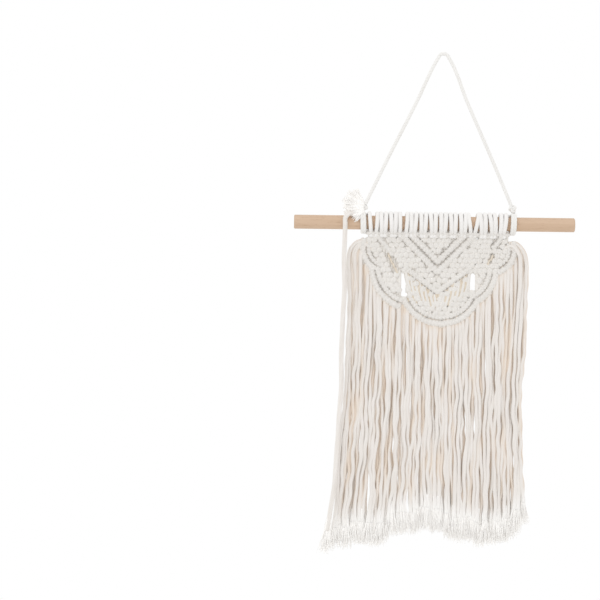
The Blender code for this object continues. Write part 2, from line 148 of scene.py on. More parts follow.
class Wire:
    """The output of a shader node. Arithmetic on it adds Math nodes to the same material."""

    def __init__(self, tree, socket=None):
        self.tree = tree
        self.socket = socket

    def add(self, kind, settings=(), links=(), output=0):
        """Adds a node: its settings first, then the values or wires of its sockets."""
        node = self.tree.nodes.new(kind)
        for key, value in dict(settings).items():
            if key == "stops":
                while len(node.color_ramp.elements) < len(value):
                    node.color_ramp.elements.new(0.5)
                for stop, (place, colour) in zip(node.color_ramp.elements, value):
                    stop.position = place
                    stop.color = (*colour, 1.0)
            else:
                setattr(node, key, value)
        for key, value in dict(links).items():
            if isinstance(value, Wire):
                self.tree.links.new(value.socket, node.inputs[key])
            else:
                node.inputs[key].default_value = value
        return Wire(self.tree, node.outputs[output] if node.outputs else None)

    def other(self, output):
        """Another output of the same node."""
        return Wire(self.tree, self.socket.node.outputs[output])

    def maths(self, operation, *values):
        """A Math node on numbers or wires."""
        return self.add("ShaderNodeMath", {"operation": operation}, enumerate(values))

    def spot(self):
        """The place on the object, in the object's own coordinates."""
        return self.add("ShaderNodeTexCoord", output=3)

    def noise(self, scale, detail, **more):
        """A noise read at this wire's place."""
        sockets = {"Vector": self, "Scale": scale, "Detail": detail, **more}
        return self.add("ShaderNodeTexNoise", links=sockets)

    def ramp(self, low, high):
        """A share that climbs from 0 at low to 1 at high."""
        return self.add("ShaderNodeMapRange", links={0: self, 1: low, 2: high, 3: 0.0, 4: 1.0})

    def surface(self, links):
        """The shader of the material and its output."""
        shader = self.add("ShaderNodeBsdfPrincipled", links=links)
        self.add("ShaderNodeOutputMaterial", links={0: shader})

    def mix(self, first, second):
        """A colour between two colours, by this wire as the share of the second."""
        return self.add("ShaderNodeMix", {"data_type": "RGBA"}, {0: self, 6: first, 7: second}, 2)

    def __add__(self, value):
        return self.maths("ADD", self, value)

    def __radd__(self, value):
        return self.maths("ADD", value, self)

    def __sub__(self, value):
        return self.maths("SUBTRACT", self, value)

    def __rsub__(self, value):
        return self.maths("SUBTRACT", value, self)

    def __mul__(self, value):
        return self.maths("MULTIPLY", self, value)

    def __rmul__(self, value):
        return self.maths("MULTIPLY", value, self)

    def __pow__(self, value):
        return self.maths("POWER", self, value)

    def __abs__(self):
        return self.maths("ABSOLUTE", self)


def new_material(name):
    """An empty material and a wire that starts its nodes."""
    material = bpy.data.materials.new(name)
    material.use_nodes = True
    material.node_tree.nodes.clear()
    return material, Wire(material.node_tree)


print("shader helper ready")

# %% [markdown]
# ## Cotton cord
#
# The cord is three loose plies twisted together, and each ply is a bundle of matt fibres. The groove
# between plies is in the mesh as well as in the material, as a bump and as painted shade that darkens
# it. The map on every cord runs once round the cord in one direction and one turn of twist in the
# other, so `around - along` is constant along a fibre. Feeding its sine and cosine to a noise gives
# streaks that follow the twist without a seam.
# Cotton has no gloss, only a faint sheen where its fuzz catches light, so the sheen is a fixed number.
#
# Two numbers stored on a cord's corners steer its colour. The first is high where a place lies deep
# between other cords, and there the place takes the inner colour. That colour is painted shade, warm
# because light gets there only off cotton. On the knotted panel it is a little lighter than the cord
# instead, painted light against the dark of its crevices. On the soft fringe these places also get a
# faint painted glow, for the light that the fringe lets through. `combed` is high near a cut end, where
# the opened plies are whiter.

# %% Cotton material
PLIES = 3
COMBED_WHITE = (0.95, 0.935, 0.915, 1.0)
NO_GLOW = (0.0, 0.0, 0.0, 1.0)


def cotton(name, light, shade, inner, relief, painted_groove_shade, painted_glow=0.0):
    """A matt cotton whose streaks and grooves follow the twist of the cord."""
    material, start = new_material(name)
    place = start.add("ShaderNodeUVMap", {"uv_map": "cord"})
    along = start.add("ShaderNodeSeparateXYZ", links={0: place})
    around = along.other(1)
    lay = around - along
    ply_angle = lay * (math.pi * PLIES)
    crest = abs(ply_angle.maths("COSINE", ply_angle))
    angle = lay * TURN
    fibre_place = start.add("ShaderNodeCombineXYZ", links={
        0: angle.maths("COSINE", angle) * 4.5, 1: angle.maths("SINE", angle) * 4.5, 2: along * 1.1})
    fibres = fibre_place.noise(3.2, 3.0, Roughness=0.65)
    spot = start.spot()
    patches = spot.noise(55.0, 2.0)
    fuzz = spot.noise(1100.0, 1.0)
    # The groove term paints shade into the grooves between plies; fibres and patches are the cotton's own
    # tone.
    tone = fibres * 0.55 + patches * 0.45 + crest ** 0.6 * painted_groove_shade - painted_groove_shade
    share = tone.ramp(0.18, 0.58)
    height = crest * 0.5 + fibres * 0.45 + fuzz * 0.12
    bump = start.add("ShaderNodeBump", links={"Strength": relief, "Distance": 0.0006, "Height": height})
    # Deep places between cords take the inner colour: painted shade on the fringe, painted light on the
    # knotted panel. The emission below is a painted glow there.
    crevice_shading_share = start.add("ShaderNodeAttribute", {"attribute_name": "shelter"}, output=2)
    combed = start.add("ShaderNodeAttribute", {"attribute_name": "combed"}, output=2)
    surface = (combed * 0.9).mix(share.mix((*shade, 1.0), (*light, 1.0)), COMBED_WHITE)
    start.surface({
        "Base Color": (crevice_shading_share * (1.15 - crest * 0.3)).mix(surface, (*inner, 1.0)),
        "Roughness": 0.98 - fibres * 0.12,
        "Normal": bump,
        "Specular IOR Level": 0.2,
        "Sheen Weight": 0.25,
        "Sheen Roughness": 0.6,
        "Emission Color": crevice_shading_share.mix(NO_GLOW, (*inner, 1.0)),
        "Emission Strength": painted_glow,
    })
    return material


BRIGHT = cotton("bright_cotton_cord", light=(0.90, 0.89, 0.87), shade=(0.80, 0.78, 0.75),
                inner=(0.70, 0.64, 0.58), relief=0.35, painted_groove_shade=0.2)
WRAP = cotton("smooth_wrap_cord", light=(0.91, 0.895, 0.88), shade=(0.83, 0.81, 0.785),
              inner=(0.70, 0.60, 0.50), relief=0.15, painted_groove_shade=0.05)
KNOTTED = cotton("knotted_cotton_cord", light=(0.85, 0.825, 0.795), shade=(0.76, 0.73, 0.69),
                 inner=(0.86, 0.83, 0.79), relief=0.45, painted_groove_shade=0.25)
# Painted shadow: a dark cord laid where rows of hitches meet, for the deep shade there.
PAINTED_SHADOW_CORD = cotton("painted_shadow_cord", light=(0.48, 0.45, 0.42), shade=(0.34, 0.31, 0.28),
                inner=(0.44, 0.40, 0.37), relief=0.3, painted_groove_shade=0.2)
# Painted shade: the knotting cord made tan where it lies in shade behind the knots and the lattice.
PAINTED_SHADE_TAN = cotton("painted_shade_tan_cord", light=(0.80, 0.72, 0.61), shade=(0.68, 0.58, 0.46),
               inner=(0.74, 0.65, 0.53), relief=0.3, painted_groove_shade=0.25)
SOFT = cotton("soft_fringe_cord", light=(0.86, 0.825, 0.79), shade=(0.79, 0.745, 0.70),
              inner=(0.78, 0.685, 0.59), relief=0.3, painted_groove_shade=0.25, painted_glow=0.06)
print("cotton materials:", BRIGHT.name, WRAP.name, KNOTTED.name, SOFT.name)

# %% [markdown]
# Where the cord is combed open there is no twist left, only single fibres. They're so thin that light
# passes through them and comes out again, so a tuft is the whitest part of the hanging. A faint glow of
# its own stands for that light. The fibres are too small for a bump.

# %% Frayed fibres
FRAYED, start = new_material("frayed_cotton_fibre")
spot = start.spot()
clumps = spot.noise(160.0, 3.0)
strands = spot.noise(900.0, 1.0)
tone = clumps * 0.6 + strands * 0.4
start.surface({
    "Base Color": tone.mix((0.90, 0.88, 0.855, 1.0), (0.96, 0.95, 0.935, 1.0)),
    "Roughness": 0.95 - clumps * 0.1,
    "Specular IOR Level": 0.1,
    "Emission Color": tone.mix((0.90, 0.87, 0.84, 1.0), (1.0, 0.99, 0.98, 1.0)),
    "Emission Strength": 0.10,
})
print("frayed material:", FRAYED.name)

# %% [markdown]
# ## A length of cord
#
# A free cord could be a curve with a round bevel, but a bevel can't twist three plies. So the cord is a
# tube in mesh code: a ring of points is carried along the line without turning about it, and the ring's
# outline has one low lobe for each ply, turned a little further at every step.

# %% Cord shape


def smooth_line(points, step):
    """Points at an even step along a smooth curve through the given points."""
    route = [Vector(point) for point in points]
    gaps = [(q - p).length for p, q in zip(route, route[1:])]
    ways = [(q - p) / gap for p, q, gap in zip(route, route[1:], gaps)]
    inner = [(ways[i] * gaps[i + 1] + ways[i + 1] * gaps[i]) / (gaps[i] + gaps[i + 1])
             for i in range(len(ways) - 1)]
    slopes = [ways[0]] + inner + [ways[-1]]
    fine = []
    for p, q, gap, leave, arrive in zip(route, route[1:], gaps, slopes, slopes[1:]):
        for t in (i / 16 for i in range(16)):
            fine.append(p * (2 * t ** 3 - 3 * t ** 2 + 1) + leave * gap * (t ** 3 - 2 * t ** 2 + t)
                        + q * (3 * t ** 2 - 2 * t ** 3) + arrive * gap * (t ** 3 - t ** 2))
    fine.append(route[-1])
    count = max(2, round(line_length(fine) / step))
    stride = line_length(fine) / count
    even, walked, target = [fine[0]], 0.0, stride
    for p, q in zip(fine, fine[1:]):
        reach = (q - p).length
        while reach > 0 and walked + reach >= target and len(even) < count:
            even.append(p.lerp(q, (target - walked) / reach))
            target += stride
        walked += reach
    even.append(fine[-1])
    return even


def line_length(line):
    """The length of a line of points."""
    return sum((q - p).length for p, q in zip(line, line[1:]))


def cord_shape(line, radius, lay, sides, plies=PLIES, groove=0.14, swell=None):
    """Corners, faces and map of a tube of twisted plies along an evenly spaced line."""
    last = len(line) - 1
    ways = [(line[min(i + 1, last)] - line[max(i - 1, 0)]).normalized() for i in range(last + 1)]
    across = ways[0].orthogonal().normalized()
    corners, lengths, walked = [], [], 0.0
    for i, centre in enumerate(line):
        if i:
            walked += (centre - line[i - 1]).length
            across = (ways[i - 1].rotation_difference(ways[i]) @ across).normalized()
        side = ways[i].cross(across)
        width = radius * (swell(i / last) if swell else 1.0)
        lengths.append(walked)
        for j in range(sides):
            angle = TURN * j / sides
            lobe = abs(math.cos(plies * (angle - TURN * walked / lay) / 2))
            reach = width * (1 - groove + groove * lobe)
            spoke = across * math.cos(angle) + side * math.sin(angle)
            corners.append(centre + spoke * reach)
    faces, chart = [], []
    for i in range(last):
        for j in range(sides):
            near, far = i * sides, (i + 1) * sides
            k = (j + 1) % sides
            faces.append((near + j, near + k, far + k, far + j))
            v0, v1 = j / sides, (j + 1) / sides
            u0, u1 = lengths[i] / lay, lengths[i + 1] / lay
            chart += [(u0, v0), (u0, v1), (u1, v1), (u1, v0)]
    for row, u, order in ((0, 0.0, -1), (last, lengths[-1] / lay, 1)):
        hub = len(corners)
        corners.append(line[row] + ways[row] * (order * radius * 0.3))
        for j in range(sides):
            k = (j + 1) % sides
            ends = [(row * sides + j, j / sides), (row * sides + k, (j + 1) / sides)][::order]
            faces.append((hub, ends[0][0], ends[1][0]))
            chart += [(u, 0.5), (u, ends[0][1]), (u, ends[1][1])]
    return corners, faces, chart


print("cord shape ready")

# %% [markdown]
# Every finished piece also needs its map and its finish, sometimes a number on each corner, and the
# plain solid that it stands for. These short helpers see to that.

# %% Piece helpers


def mesh_piece(name, shapes, finish):
    """One object made of several shapes, at the origin, with its map and its finish."""
    corners, faces, chart = [], [], []
    for more_corners, more_faces, more_chart in shapes:
        start = len(corners)
        corners += [tuple(corner) for corner in more_corners]
        faces += [tuple(index + start for index in face) for face in more_faces]
        chart += more_chart
    data = bpy.data.meshes.new(name)
    data.from_pydata(corners, [], faces)
    layer = data.uv_layers.new(name="cord")
    layer.uv.foreach_set("vector", [number for pair in chart for number in pair])
    data.materials.append(finish)
    data.shade_smooth()
    piece = bpy.data.objects.new(name, data)
    bpy.context.scene.collection.objects.link(piece)
    return piece


def mark(piece, name, rule):
    """Stores a number on every corner of a piece, worked out from where the corner is."""
    marks = piece.data.attributes.new(name, "FLOAT", "POINT")
    for place, corner in zip(marks.data, piece.data.vertices):
        place.value = rule(corner.co)


def rise(value, low, high):
    """A smooth step from 0 at low to 1 at high."""
    share = min(1.0, max(0.0, (value - low) / (high - low)))
    return share * share * (3 - 2 * share)


def stand_for(piece, slot, body, *nodes):
    """Attaches a finished piece to its body and hides the plain solids that it stands for. The slot is not
    used.
    """
    if body:
        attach(piece, body)
    if nodes:
        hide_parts(*nodes)


print("piece helpers ready")

# %% [markdown]
# ## The hanger cord
#
# One cord runs from a knot at the left of the panel up over the nail and down to a knot at the right.
# The weight keeps both legs straight. It is thinner and harder than the knotting cord, and its twist
# shows, so it gets three clear plies and a short lay.

# %% Hanger cord
HANGER_DIAMETER = 0.004
HANGER_LAY = 0.0115
KNOTS = {"left": middle("hanger_knot_left"), "right": middle("hanger_knot_right")}


def leg_start(knot):
    """Where a leg leaves its knot, on the straight line towards the nail."""
    return knot + (Vector((0, 0, HANGER_DIAMETER / 2)) - knot).normalized() * 0.0035


left_foot, right_foot = leg_start(KNOTS["left"]), leg_start(KNOTS["right"])
nail_top = Vector((0, 0, HANGER_DIAMETER / 2))
over_left = nail_top + Vector((-0.0052, 0, -0.0040))
over_right = nail_top + Vector((0.0057, 0, -0.0040))
bow = Vector((0.0003, 0, 0))
hanger_route = [left_foot, left_foot.lerp(over_left, 0.3) - bow, left_foot.lerp(over_left, 0.7) + bow,
                over_left, nail_top + Vector((-0.0032, 0, -0.0008)), nail_top,
                nail_top + Vector((0.0034, 0, -0.0006)), over_right,
                right_foot.lerp(over_right, 0.7) - bow, right_foot.lerp(over_right, 0.3) + bow, right_foot]
hanger_line = smooth_line(hanger_route, 0.0011)
hanger_shape = cord_shape(hanger_line, HANGER_DIAMETER / 2, HANGER_LAY, 15, groove=0.17)
hanger = mesh_piece("hanger_cord_plied", [hanger_shape], BRIGHT)
stand_for(hanger, "bright_cotton", "hanger", "hanger_cord")
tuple(left_foot)
line_length(hanger_line)
print("hanger cord:", round(line_length(hanger_line), 3), "m")

# %% [markdown]
# The left end of that cord is longer than the knot needs. It lies over the dowel and hangs down in
# front of the fringe, where it opens into fluff. It swings by itself.
# Its route is given as steps from the knot, over the dowel, and then as steps from its own pivot.

# %% Loose tail
CORD_LAY = 0.16
TAIL_DIAMETER = 0.0054
tail_low = Vector(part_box("hanger_tail")[0])
tail_pivot = PIVOTS["tail"]
tail_end = Vector((tail_low.x + 0.0045, tail_pivot.y, tail_low.z + 0.012))
OVER_THE_DOWEL = ((-0.0050, -0.0012, -0.0008), (-0.0105, -0.0062, -0.0046), (-0.0165, -0.0098, -0.0080))
DOWN_THE_SIDE = ((0.0004, 0, 0.0072), (0, 0, 0), (-0.0006, 0.0004, -0.030), (-0.0001, -0.0005, -0.075),
                 (-0.0022, 0.0002, -0.125), (-0.0022, -0.0006, -0.175), (-0.0050, 0, -0.225),
                 (-0.0078, -0.0004, -0.275))
tail_route = [KNOTS["left"] + Vector(step) for step in OVER_THE_DOWEL]
tail_route += [tail_pivot + Vector(step) for step in DOWN_THE_SIDE] + [tail_end]
tail_line = smooth_line(tail_route, 0.0020)
tail_shape = cord_shape(tail_line, TAIL_DIAMETER / 2, CORD_LAY, 12, groove=0.22)
tail = mesh_piece("loose_tail_cord", [tail_shape], SOFT)
stand_for(tail, "fringe_cotton", None, "hanger_tail_bend", "hanger_tail")
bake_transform(tail)
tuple(tail_line[0])
line_length(tail_line)
print("loose tail:", round(line_length(tail_line), 3), "m")

# %% [markdown]
# ## The scalloped edge, as lines
#
# Five arcs make the lower edge of the panel. Every cord of the fringe comes out from behind one of
# them, so the arcs are described before the fringe: middle, radius, first and last angle, and the width
# of the two rows of hitches that cover each arc.

# %% Scallop arcs
SCALLOPS = {
    "scallop_upper_left": (-0.0540, 0.0144, 0.0230, 165, 246, 0.009),
    "scallop_lower_left": (-0.0245, 0.0339, 0.0429, 185, 248, 0.012),
    "scallop_bottom": (0.0038, 0.0521, 0.0396, 203, 337, 0.012),
    "scallop_lower_right": (0.0232, 0.0369, 0.0359, 300, 352, 0.012),
    "scallop_upper_right": (0.0575, 0.0154, 0.0215, 291, 375, 0.009),
}


def edge_depth(across):
    """How far the scalloped edge reaches below the panel's top, at a place along the dowel."""
    deepest = 0.012
    for middle_across, middle_down, radius, *_, width in SCALLOPS.values():
        reach = radius + width / 2
        if abs(across - middle_across) < reach:
            deepest = max(deepest, middle_down + math.sqrt(reach ** 2 - (across - middle_across) ** 2))
    return deepest


print("deepest scallop:", round(max(edge_depth(i / 1000) for i in range(-80, 80)), 4), "m")

# %% [markdown]
# ## The fringe
#
# Thirty-six cords hang in twelve locks of three. Each has come loose into three soft strands that
# cross slowly as they hang, so no two places along it look alike. A cord wanders a millimetre or two
# from a straight line and its width changes. The cords lie in loose layers, some forward and some
# back. Cords beside the panel leave its top corners and arch outwards before they fall, and those at
# the right are drawn in a little half way down.

# %% Fringe routes
CORDS_PER_LOCK = 3
LOCKS = sorted(name for name in PIVOTS if name.startswith("lock"))
STRANDS = ((-0.0021, -0.0016), (0.0004, 0.0019), (0.0019, -0.0011))
STRAND_RADIUS = 0.00215
HEM = [(-0.110, 0.521), (-0.068, 0.518), (-0.025, 0.501), (0.0, 0.503),
       (0.020, 0.511), (0.055, 0.517), (0.077, 0.509), (0.092, 0.492)]
LAYERS = [-0.0013, 0.0012, -0.0005, 0.0014, -0.0016, 0.0006]
ROUTE_STEPS = 24
TAIL_ROOM = 0.0009
fray_roots = {}


def between(table, x):
    """The value at x on a line through the points of a table."""
    for (x0, value0), (x1, value1) in zip(table, table[1:]):
        if x <= x1:
            break
    share = min(1.0, max(0.0, (x - x0) / (x1 - x0)))
    return value0 + (value1 - value0) * share


def arch_start(x, y):
    """The first points of a cord beside the panel, which arches out from a top corner."""
    side = -1 if x < PANEL_X else 1
    corner = on_panel(side * 0.0745, 0.0085)
    out = abs(x - corner.x)
    top = corner.z - 0.009 + out * 0.52
    return [Vector((corner.x - side * 0.004, 0.001, top - 0.004)),
            Vector((corner.x + side * out * 0.40, y * 0.4, top)),
            Vector((corner.x + side * out * 0.86, y * 0.8, top - 0.0050 - out * 0.15))]


def fringe_route(x, flare, y, seed):
    """A hanging cord's route, from the panel to where its tip begins to fray."""
    draw = random.Random(seed)
    across = x - PANEL_X
    bottom = -between(HEM, x + flare) + 0.017 + draw.uniform(-0.003, 0.003)
    if abs(across) > 0.0795:
        route = arch_start(x, y)
        top = route[-1].z - 0.016
    else:
        top = PANEL_TOP - edge_depth(across) - 0.006
        route = [Vector((x, 0.0008, top + 0.0125)), Vector((x, 0.0012, top + 0.006))]
    waves = [(draw.uniform(0.0004, 0.0011), draw.uniform(0.060, 0.120), draw.uniform(0, TURN)),
             (draw.uniform(0.0002, 0.0006), draw.uniform(0.022, 0.040), draw.uniform(0, TURN))]
    lean = draw.uniform(-0.0008, 0.0008)
    for i in range(ROUTE_STEPS + 1):
        share = i / ROUTE_STEPS
        z = top + (bottom - top) * share
        grow = min(1.0, share * 5 + 0.12)
        sway = sum(size * math.sin(TURN * z / span + phase) for size, span, phase in waves)
        ripple = 0.0009 * grow * math.sin(TURN * z / waves[0][1] + waves[1][2])
        depth = y * min(1.0, share * 7 + 0.2) + ripple
        pull = math.sin(math.pi * share ** 1.4) ** 2 - 0.4 * rise(0.3 - share, 0, 0.2)
        tuck = 0.0045 * rise(x, 0.060, 0.095) * pull
        route.append(Vector((x - tuck + sway * grow + flare * share ** 2.2 + lean * share, depth, z)))
    return route


def strand_line(line, across, forward, seed):
    """One of the loose strands of a cord: beside its middle line, crossing it slowly as it hangs."""
    draw = random.Random(seed)
    turn, drift = draw.uniform(-0.5, 0.5), draw.uniform(0, TURN)
    beat = draw.uniform(2.2, 3.6)
    strand = []
    for i, place in enumerate(line):
        share = i / (len(line) - 1)
        angle = turn + 0.55 * math.sin(beat * share * 3 + drift)
        gather = 0.75 + 0.25 * min(1.0, share * 8)
        sway = 0.0004 * math.sin(TURN * place.z / 0.031 + drift) * min(1.0, 0.25 + share)
        shift = Vector((across * math.cos(angle) - forward * math.sin(angle) + sway,
                        across * math.sin(angle) + forward * math.cos(angle), 0))
        strand.append(place + shift * gather)
    return strand


def wander(seed):
    """A slow change of width along a cord."""
    draw = random.Random(seed)
    phase, more = draw.uniform(0, TURN), draw.uniform(0, TURN)
    return lambda t: 1 + 0.10 * math.sin(9 * t + phase) + 0.07 * math.sin(23 * t + more)


print("fringe routes ready for", len(LOCKS), "locks")

# %% [markdown]
# The cords are evenly spaced along the panel. Only the first stands a little closer to its neighbour, to
# leave the loose tail its room. The cords at the left flare outwards towards the hem.

# %% Fringe cords
left_edge = PIVOTS[LOCKS[0]].x - (PIVOTS[LOCKS[1]].x - PIVOTS[LOCKS[0]].x) / 2
lock_width = (PIVOTS[LOCKS[-1]].x - PIVOTS[LOCKS[0]].x) / (len(LOCKS) - 1)
cord_pitch = lock_width / CORDS_PER_LOCK
total = 0.0
for number in range(len(LOCKS) * CORDS_PER_LOCK):
    lock = LOCKS[number // CORDS_PER_LOCK]
    x = left_edge + (number + 0.5) * cord_pitch + (TAIL_ROOM if number == 0 else 0.0)
    y = LAYERS[number % len(LAYERS)]
    flare = -0.013 * max(0.0, 1 - number / 15)
    line = smooth_line(fringe_route(x, flare, y, 100 + number), 0.0024)
    name = f"fringe_cord_{number + 1:02d}"
    lay = CORD_LAY * random.Random(number).uniform(0.7, 1.6)
    strands = [strand_line(line, across, forward * (1 if y < 0 else -1), number * 7 + order)
               for order, (across, forward) in enumerate(STRANDS)]
    cord = mesh_piece(name, [cord_shape(strand, STRAND_RADIUS, lay, 10, groove=0.16,
                                        swell=wander(number * 3 + order))
                             for order, strand in enumerate(strands)], SOFT)
    tip = line[-1].z
    mark(cord, "combed", lambda co: 1 - rise(co.z, tip - 0.002, tip + 0.026))
    # Painted shade: the middle plane of the fringe above the tips takes the warm inner colour.
    mark(cord, "shelter", lambda co: (1 - rise(abs(co.y), 0.0006, 0.0034)) * rise(co.z, tip, tip + 0.035))
    head = "fringe_head_left" if x < PANEL_X else "fringe_head_right"
    stand_for(cord, "fringe_cotton", None, f"fringe_{lock}", head)
    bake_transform(cord)
    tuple(line[0])
    line_length(line)
    for strand in strands:
        fray_roots.setdefault(lock, []).append((strand[-1], (line[-1] - line[-4]).normalized()))
    total += line_length(line)
tail_way = (tail_line[-1] - tail_line[-4]).normalized()
fray_roots["tail"] = [(tail_line[-1] + Vector((shift, 0, 0)), tail_way) for shift in (-0.0015, 0.0, 0.0015)]
print("fringe:", number + 1, "cords,", round(total, 2), "m of cord below the panel")

# %% [markdown]
# ## Frayed tips
#
# The cut ends are combed open. Each tip is a tuft of fine fibres that start inside the cord and spread
# as they fall. A fibre is a four-sided tapered tube, because hundreds of them are needed. One piece
# holds all the tufts of a lock, and swings with it.

# %% Frayed tips
FIBRE_LAY = 0.02
FIBRES_PER_TUFT = 24
TUFT_LENGTH = 0.0250
TUFT_SPREAD = 0.0050
TUFT_THICKNESS = 0.0020


def tuft_shapes(root, way, count, length, spread, thickness, seed, sunk=0.014, fibre=0.00085):
    """Fine fibres that start together and spread apart."""
    draw = random.Random(seed)
    side = way.orthogonal().normalized()
    shapes = []
    for _ in range(count):
        angle = draw.uniform(0, TURN)
        out = (side * math.cos(angle) + way.cross(side) * math.sin(angle)) * math.sqrt(draw.random())
        out.y *= 0.6
        reach = length * draw.uniform(0.62, 1.0)
        curl = Vector((draw.uniform(-1, 1), draw.uniform(-0.6, 0.6), 0)) * spread * 0.35
        points = [root - way * sunk + out * thickness * 0.5, root - way * sunk * 0.3 + out * thickness]
        for t in (0.35, 0.7, 1.0):
            points.append(root + way * (reach * t) + out * (thickness + spread * t ** 1.4)
                          + curl * math.sin(t * 2.6))
        shapes.append(cord_shape(smooth_line(points, reach / 5), fibre, FIBRE_LAY, 4, 1, 0.0,
                                 lambda t: 1.0 - 0.75 * t))
    return shapes


for body, roots in sorted(fray_roots.items()):
    shapes = []
    for order, (root, way) in enumerate(roots):
        seed = sum(ord(letter) for letter in body) * 7 + order
        shapes += tuft_shapes(root, way, FIBRES_PER_TUFT, TUFT_LENGTH, TUFT_SPREAD, TUFT_THICKNESS, seed)
    tips = mesh_piece(f"frayed_tips_{body}", shapes, FRAYED)
    stand_for(tips, "fringe_cotton", body)
print("frayed tips:", len(fray_roots), "groups")

# %% [markdown]
# The short end of the hanger cord is frayed too. It stands out of the left knot like a small flag of
# four plumes. A plume is a soft core, wide at its end, with a coat of fibres. Each row below gives its
# start from the knot, its direction, how many fibres it has, and its length, spread and thickness.

# %% Flag of the left knot
FLAG_PLUMES = (
    ((-0.0030, -0.0010, 0.0030), (-0.80, -0.10, 0.50), 130, 0.0200, 0.0060, 0.0036),
    ((-0.0020, -0.0012, 0.0045), (-0.62, -0.05, 0.85), 90, 0.0165, 0.0040, 0.0026),
    ((-0.0035, -0.0030, -0.0005), (-0.97, -0.22, -0.10), 130, 0.0185, 0.0052, 0.0040),
    ((-0.0030, -0.0050, -0.0045), (-0.80, -0.35, -0.45), 90, 0.0125, 0.0040, 0.0036),
)
shapes = []
for seed, (shift, way, count, length, spread, thickness) in enumerate(FLAG_PLUMES):
    root, way = KNOTS["left"] + Vector(shift), Vector(way).normalized()
    shapes += tuft_shapes(root, way, count, length, spread, thickness, 77 + seed, sunk=0.003, fibre=0.0011)
    core = smooth_line([root - way * 0.002, root + way * length * 0.4, root + way * length * 0.82], 0.0012)
    shapes.append(cord_shape(core, thickness + spread * 0.42, FIBRE_LAY, 14, 5, 0.12,
                             lambda t: (0.55 + 0.45 * t) * math.sqrt(max(0.02, 1 - t ** 3))))
flag = mesh_piece("frayed_flag", shapes, FRAYED)
stand_for(flag, "bright_cotton", "hanger", "hanger_tuft")
print("flag:", len(flag.data.polygons), "faces")

# %% [markdown]
# ## Knots of the hanger cord
#
# Each leg ends in an overhand knot that can't slip past the wraps. An overhand knot closed on itself is
# a trefoil, and the trefoil has a short formula, so the knot is that line with the cord swept along it.

# %% Overhand knots
OVERHAND_SIZE = 0.00105
OVERHAND_RADIUS = 0.0017


def overhand(knot, lean):
    """The line of a small overhand knot, tilted to the side."""
    line = []
    for i in range(49):
        t = TURN * i / 48
        point = Vector((math.sin(t) + 2 * math.sin(2 * t), -math.sin(3 * t) * 1.3,
                        math.cos(t) - 2 * math.cos(2 * t))) * OVERHAND_SIZE
        line.append(knot + Matrix.Rotation(lean, 3, "Y") @ point)
    return line


for word, lean in (("left", 0.5), ("right", -0.4)):
    shape = cord_shape(overhand(KNOTS[word], lean), OVERHAND_RADIUS, 0.012, 12, groove=0.2)
    stand_for(mesh_piece(f"overhand_knot_{word}", [shape], BRIGHT), "bright_cotton", "hanger",
              f"hanger_knot_{word}")
print("overhand knots: 2")

# %% [markdown]
# ## Wraps round the dowel
#
# Each knotting cord is folded in half and fixed with a lark's head, its bar at the back. In front only
# two wraps show. They come up from the panel, go over the front and the top, down the back, and join
# in the bar, which passes behind both cords. The two wraps of a knot pull together under the dowel.
# Three of the knots have been pulled open, so the wood shows between their wraps. Two heading cords
# run along under the row, behind the knots, and close it against the light.

# %% Lark's heads
KNOT_LAY = 0.016
WRAP_RADIUS = 0.00243
WRAP_LINE = DOWEL_RADIUS + 0.0003 + WRAP_RADIUS
CLOSED_GAPS = (0.00035, -0.0012)
OPEN_HEADS = {1: (0.0036, 0.0010), 4: (0.0030, 0.0018), 11: (0.0058, -0.0004)}
LEANS = {5: 0.0005, 12: -0.0006, 13: -0.0009, 14: 0.0008}
WRAP_ANGLES = (18, 50, 90, 130, 170, 210, 250, 285, 312)
HEADING_CORDS = ((0.0056, 0.0016), (0.0022, -0.0008))


def on_dowel(x, degrees, line=WRAP_LINE):
    """A point on a wrap: 0 under the dowel, 90 in front of it, 180 on top."""
    angle = math.radians(degrees)
    return Vector((x, -line * math.sin(angle), DOWEL.z - line * math.cos(angle)))


def half_gap(number, degrees):
    """How far a wrap is from the middle of its lark's head."""
    top, foot = OPEN_HEADS.get(number, CLOSED_GAPS)
    share = min(1.0, max(0.0, (math.cos(math.radians(degrees)) + 0.75) / 1.7))
    return WRAP_RADIUS + (top + (foot - top) * share) / 2


def along_the_top(overhang, y, lift):
    """A straight line under the row of wraps, a little longer than the row."""
    places = (HEADS[0] - overhang, PANEL_X, HEADS[-1] + overhang)
    return [Vector((x, y, PANEL_TOP + lift)) for x in places]


for number, x in enumerate(HEADS, 1):
    draw = random.Random(number * 13)
    lean = LEANS.get(number, draw.uniform(-0.0003, 0.0003))
    halves = []
    for side in (-1, 1):
        half = [on_dowel(x + side * (half_gap(number, 0) - 0.0002), 0) - Vector((0, 0.0016, 0.0050))]
        for degrees in WRAP_ANGLES:
            tilt = -lean * math.cos(math.radians(degrees))
            half.append(on_dowel(x + side * half_gap(number, degrees) + tilt, degrees))
        halves.append(half)
    bar = [on_dowel(x - 0.0019, 330, WRAP_LINE + 0.0016), on_dowel(x, 336, WRAP_LINE + 0.0026),
           on_dowel(x + 0.0019, 330, WRAP_LINE + 0.0016)]
    line = smooth_line(halves[0] + bar + halves[1][::-1], 0.0015)
    slim = 0.90 if number in OPEN_HEADS else draw.uniform(0.97, 1.03)
    shape = cord_shape(line, WRAP_RADIUS * slim, KNOT_LAY, 12, groove=0.02)
    stand_for(mesh_piece(f"cord_head_{number:02d}", [shape], WRAP), "bright_cotton", "panel",
              f"larks_head_{number:02d}")
bars = [smooth_line(along_the_top(0.005, y, lift), 0.004) for y, lift in HEADING_CORDS]
stand_for(mesh_piece("heading_cords", [cord_shape(bar, 0.0024, KNOT_LAY, 10) for bar in bars], KNOTTED),
          "knotted_cotton", "panel")
print("lark's heads:", len(HEADS))

# %% [markdown]
# At each end of the row the hanger cord itself makes two turns round the dowel before its knot.

